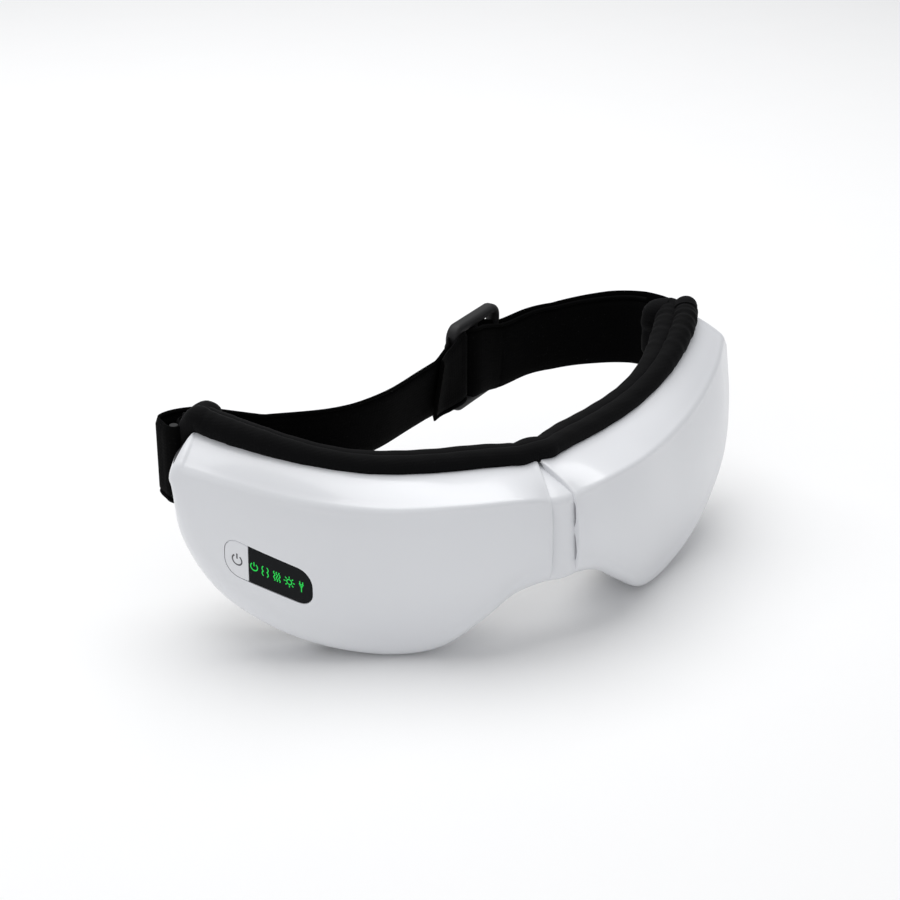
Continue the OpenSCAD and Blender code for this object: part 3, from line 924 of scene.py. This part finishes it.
def feed(tree, value, socket):
    """Links a node's output to the socket, or sets it to a plain number."""
    if isinstance(value, (int, float)):
        socket.default_value = value
    else:
        tree.links.new(value, socket)


def math_node(tree, kind, a, b):
    """A math node of two values or sockets; gives its result socket."""
    node = tree.nodes.new("ShaderNodeMath")
    node.operation = kind
    feed(tree, a, node.inputs[0])
    feed(tree, b, node.inputs[1])
    return node.outputs[0]


def noise_node(tree, vector, scale, detail):
    """A noise texture read at the vector; gives its value socket."""
    node = tree.nodes.new("ShaderNodeTexNoise")
    node.inputs["Detail"].default_value = detail
    feed(tree, vector, node.inputs["Vector"])
    feed(tree, scale, node.inputs["Scale"])
    return node.outputs["Fac"]


grain_group, g_in, g_out = new_group("moulded_grain", "Scale", 900.0)
fine = noise_node(grain_group, g_in.outputs["Vector"], g_in.outputs["Scale"], 3)
broad = noise_node(grain_group, g_in.outputs["Vector"], 28.0, 2)
grain_group.links.new(fine, g_out.inputs["Height"])
grain_group.links.new(broad, g_out.inputs["Tone"])

weave_group, w_in, w_out = new_group("woven_cloth", "Threads", 300.0)
waves = []
for direction in ("X", "Y", "Z"):
    wave = weave_group.nodes.new("ShaderNodeTexWave")
    wave.bands_direction = direction
    wave.inputs["Distortion"].default_value = 0.6
    weave_group.links.new(w_in.outputs["Vector"], wave.inputs["Vector"])
    weave_group.links.new(w_in.outputs["Threads"], wave.inputs["Scale"])
    waves.append(wave.outputs["Fac"])
threads = math_node(weave_group, "ADD", math_node(weave_group, "MULTIPLY", waves[0], waves[1]), waves[2])
weave_group.links.new(math_node(weave_group, "MULTIPLY", threads, 0.5), w_out.inputs["Height"])
weave_group.links.new(noise_node(weave_group, w_in.outputs["Vector"], 60.0, 4), w_out.inputs["Tone"])
print("groups:", [g.name for g in bpy.data.node_groups])

# %% [markdown]
# ## Finishes
# Each finish has a small change of colour over the surface, a roughness that is not even, and a bump
# at the true scale of its grain. `finish` wires that once; the numbers are what make white gloss,
# black knit, webbing or steel.

# %% Material maker
finishes = {}


def finish(name, dark, light, rough, bump, scale, group=grain_group, uv=False, **shader):
    """A Principled material, kept in finishes by its name: colour from dark to light and roughness
    between two values by the group's tone, bump of that height in metres by the group's height, other
    sockets set directly."""
    material = bpy.data.materials.new(name)
    material.use_nodes = True
    tree = material.node_tree
    principled = tree.nodes["Principled BSDF"]
    coordinates = tree.nodes.new("ShaderNodeTexCoord")
    effect = tree.nodes.new("ShaderNodeGroup")
    effect.node_tree = group
    tree.links.new(coordinates.outputs["UV" if uv else "Object"], effect.inputs["Vector"])
    effect.inputs[1].default_value = scale
    colour = tree.nodes.new("ShaderNodeMix")
    colour.data_type = "RGBA"
    colour.inputs["A"].default_value = (*dark, 1)
    colour.inputs["B"].default_value = (*light, 1)
    tree.links.new(effect.outputs["Tone"], colour.inputs["Factor"])
    tree.links.new(colour.outputs["Result"], principled.inputs["Base Color"])
    spread = tree.nodes.new("ShaderNodeMapRange")
    spread.inputs["To Min"].default_value, spread.inputs["To Max"].default_value = rough
    tree.links.new(effect.outputs["Tone"], spread.inputs["Value"])
    tree.links.new(spread.outputs["Result"], principled.inputs["Roughness"])
    relief = tree.nodes.new("ShaderNodeBump")
    relief.inputs["Strength"].default_value = 1.0
    relief.inputs["Distance"].default_value = bump
    tree.links.new(effect.outputs["Height"], relief.inputs["Height"])
    tree.links.new(relief.outputs["Normal"], principled.inputs["Normal"])
    for socket, value in shader.items():
        principled.inputs[socket.replace("_", " ")].default_value = value
    finishes[name] = material


# %% The finishes
finish("white_gloss", (0.77, 0.78, 0.81), (0.81, 0.82, 0.84), (0.27, 0.34), 4e-6, 260.0,
       Coat_Weight=0.4, Coat_Roughness=0.12)
finish("black_gloss", (0.006, 0.007, 0.008), (0.011, 0.012, 0.013), (0.08, 0.13), 1e-6, 300.0,
       Specular_IOR_Level=0.08, Coat_Weight=0.02, Coat_Roughness=0.03)
finish("dark_plastic", (0.022, 0.022, 0.024), (0.04, 0.04, 0.043), (0.45, 0.6), 2e-5, 1500.0)
finish("buckle_plastic", (0.006, 0.006, 0.0065), (0.013, 0.013, 0.014), (0.45, 0.6), 2e-5, 1800.0,
       Specular_IOR_Level=0.3)
finish("black_fabric", (0.0012, 0.0012, 0.0014), (0.0035, 0.0035, 0.004), (0.75, 0.92), 6e-5, 420.0,
       group=weave_group, Sheen_Weight=0.02, Sheen_Roughness=0.4, Specular_IOR_Level=0.1)
finish("webbing", (0.001, 0.001, 0.001), (0.0028, 0.0028, 0.003), (0.85, 0.97), 1.2e-4, 260.0,
       group=weave_group, uv=True, Specular_IOR_Level=0.05)
finish("steel", (0.5, 0.5, 0.5), (0.62, 0.62, 0.61), (0.25, 0.42), 1e-5, 2200.0, Metallic=1.0)
finish("motor_can", (0.42, 0.42, 0.43), (0.55, 0.55, 0.56), (0.3, 0.45), 8e-6, 1800.0, Metallic=1.0)
finish("circuit_board", (0.01, 0.08, 0.035), (0.02, 0.15, 0.06), (0.35, 0.5), 3e-5, 1100.0,
       Coat_Weight=0.3)
finish("battery_wrap", (0.05, 0.12, 0.3), (0.07, 0.17, 0.4), (0.3, 0.42), 2e-5, 500.0)
finish("soft_rubber", (0.05, 0.05, 0.055), (0.08, 0.08, 0.085), (0.6, 0.78), 2e-5, 1200.0)
finish("film", (0.45, 0.17, 0.04), (0.6, 0.25, 0.07), (0.25, 0.4), 1e-5, 700.0)
finish("lit_green", (0.0, 0.1, 0.01), (0.0, 0.16, 0.02), (0.4, 0.5), 1e-6, 500.0,
       Emission_Color=(0.0, 0.6, 0.06, 1), Emission_Strength=1.0)
finish("mark_grey", (0.07, 0.07, 0.075), (0.1, 0.1, 0.11), (0.4, 0.5), 1e-6, 500.0)
finish("pale_floor", (0.955, 0.955, 0.955), (0.965, 0.965, 0.965), (0.85, 0.9), 1e-6, 20.0)


def both(*parts):
    """The names of parts that each pod has."""
    return [side + "_" + part for side in ("left", "right") for part in parts]


node_finish = {
    "steel": ["hinge_pin", "charging_socket", *both("hinge_leaf", "cover_screws", "eccentric_weight")],
    "motor_can": both("vibration_motor"),
    "circuit_board": ["main_board", "display_board"],
    "battery_wrap": ["battery"],
    "soft_rubber": ["air_hose", *both("air_bag")],
    "film": both("heating_film"),
    "dark_plastic": ["button_switch", "air_pump", "air_valve", *both("inner_cover")],
    "buckle_plastic": both("strap_anchor"),
}
finish_of = {name: slot_name for slot_name, names in node_finish.items() for name in names}
for name, node in frame["nodes"].items():
    node.data.materials.clear()
    node.data.materials.append(finishes[finish_of.get(name, "dark_plastic")])
replaced = sorted(set(frame["nodes"]) - set(finish_of))
print("own finish:", len(finish_of), "nodes; the others are replaced:", replaced)

# %% [markdown]
# ## What moves with what
# Every piece rides on the body it is fixed to. The brow rolls cross the nose, so they ride on no body
# and their placement is baked into their points.

# %% Ride and bake
riders = [(left_shell, "left_pod", "white_gloss"), (right_shell, "right_pod", "white_gloss"),
          (bridge, "left_pod", "white_gloss"), (window, "left_pod", "black_gloss"),
          (button, "power_button", "white_gloss"), (lit_marks, "left_pod", "black_gloss"),
          (key_mark, "power_button", "dark_plastic"), (cushions[0], "left_pod", "black_fabric"),
          (cushions[1], "right_pod", "black_fabric"), (left_webbing, "left_strap", "webbing"),
          (right_webbing, "right_strap", "webbing"), (buckle_frame, "strap_buckle", "buckle_plastic"),
          (middle_bar, "strap_buckle", "buckle_plastic")]
riders += [(lining, body, "dark_plastic") for lining, body in linings]
own_material = {lit_marks.name: "lit_green", key_mark.name: "mark_grey"}
for piece, body, slot_name in riders:
    piece.data.materials.clear()
    piece.data.materials.append(finishes[own_material.get(piece.name, slot_name)])
    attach(piece, body)
for roll in (front_roll, rear_roll):
    roll.data.materials.append(finishes["black_fabric"])
    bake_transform(roll)

# %% [markdown]
# ## Floor, light and camera
# A pale floor and a bright, even room make the white shells read by their shading alone. A large
# soft light overhead keeps the sloping top band brighter than the front.

# %% Stage
floor_half = 4
floor_z = -0.0004
floor_mesh = bpy.data.meshes.new("floor")
floor_corners = [(x * floor_half, y * floor_half, floor_z) for x, y in ((-1, -1), (1, -1), (1, 1), (-1, 1))]
floor_mesh.from_pydata(floor_corners, [], [(0, 1, 2, 3)])
floor = add_object("floor", floor_mesh)
floor.data.materials.append(finishes["pale_floor"])

world = bpy.data.worlds.new("room")
bpy.context.scene.world = world
world.use_nodes = True
background = world.node_tree.nodes["Background"]
background.inputs["Color"].default_value = (0.97, 0.98, 1.0, 1)
background.inputs["Strength"].default_value = 0.47
bpy.context.scene.view_settings.view_transform = "Standard"


def place_facing(thing, place, target):
    """Puts a lamp or camera at a place and turns its front to the target."""
    thing.location = place
    thing.rotation_euler = (thing.location - Vector(target)).to_track_quat("Z", "Y").to_euler()


def soft_light(name, place, size, power):
    """A square area light of that size and power that shines at the middle of the mask."""
    lamp = bpy.data.lights.new(name, "AREA")
    lamp.size, lamp.energy = size, power
    place_facing(add_object(name, lamp), place, (0, 0, 0.04))


soft_light("overhead", (0.0, 0.35, 1.1), size=1.2, power=11)
soft_light("left_fill", (-0.9, -0.7, 0.5), size=0.8, power=1.0)

aim = to_row((0, 49.1, 37.1))
turn, lift, reach = math.radians(-31), math.radians(24.9), 0.6496
sight = np.array([math.sin(turn) * math.cos(lift), -math.cos(turn) * math.cos(lift), math.sin(lift)])
camera_data = bpy.data.cameras.new("view")
camera_data.lens, camera_data.sensor_width, camera_data.clip_start = 81.2, 36, 0.01
camera = add_object("view", camera_data)
place_facing(camera, aim + reach * sight, aim)
bpy.context.scene.camera = camera
print("camera at", np.round(camera.location, 3))


bpy.context.view_layer.update()
